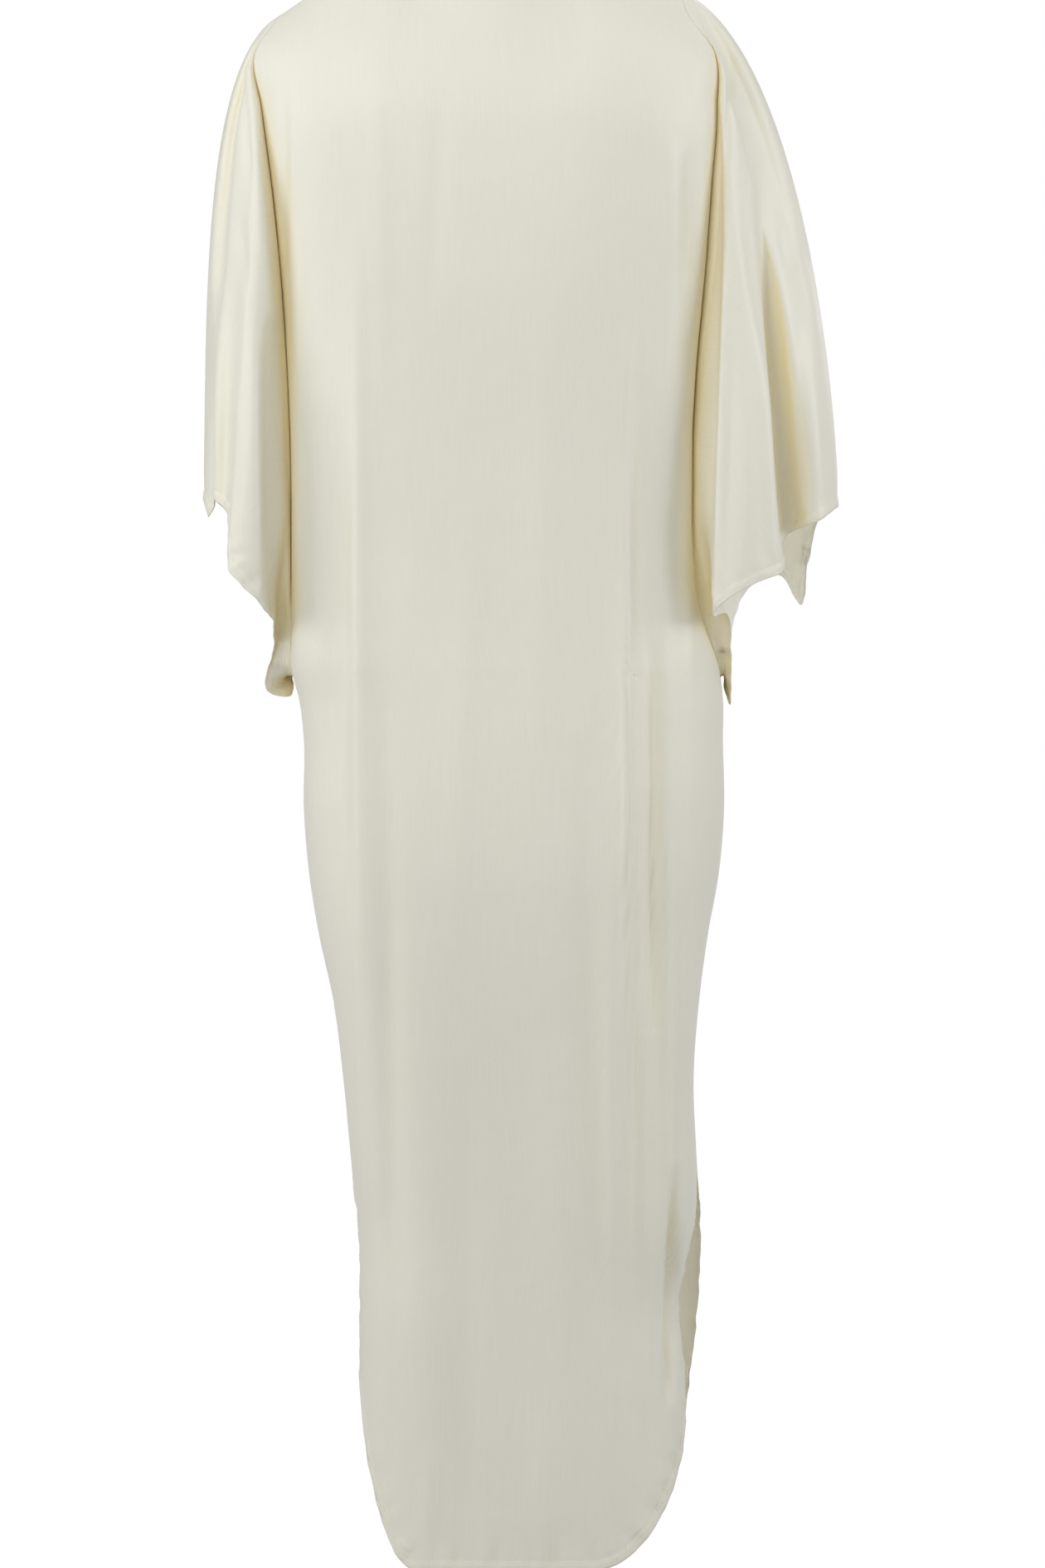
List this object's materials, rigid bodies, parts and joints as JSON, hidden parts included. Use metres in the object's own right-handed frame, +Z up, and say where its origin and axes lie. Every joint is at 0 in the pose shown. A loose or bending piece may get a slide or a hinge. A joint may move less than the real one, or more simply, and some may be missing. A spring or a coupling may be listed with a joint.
{
  "type": "kaftan",
  "caption": "Full-length plain kaftan in worn shape, hollow, with wide sloping bell sleeves, side slits, rounded hem corners and a round bound neck.",
  "frame": {"origin": "midway between the wearer's shoulders, 20 mm below the high point of the shoulder seam, where the shoulders carry the cloth", "axes": "+Z up, +Y towards the front of the garment, +X towards its right sleeve; the back faces -Y"},
  "size_m": [0.564, 0.2519, 1.4483],
  "materials": {
    "back_cloth": "soft satin-faced woven cloth",
    "front_cloth": "soft satin-faced woven cloth",
    "sleeve_cloth": "soft satin-faced woven cloth",
    "binding_cloth": "bias-cut strip of the same cloth"
  },
  "bodies": {
    "root": {"back_panel": "back_cloth", "front_panel": "front_cloth", "left_sleeve": "sleeve_cloth", "right_sleeve": "sleeve_cloth", "neck_binding": "binding_cloth"}
  },
  "joints": []
}
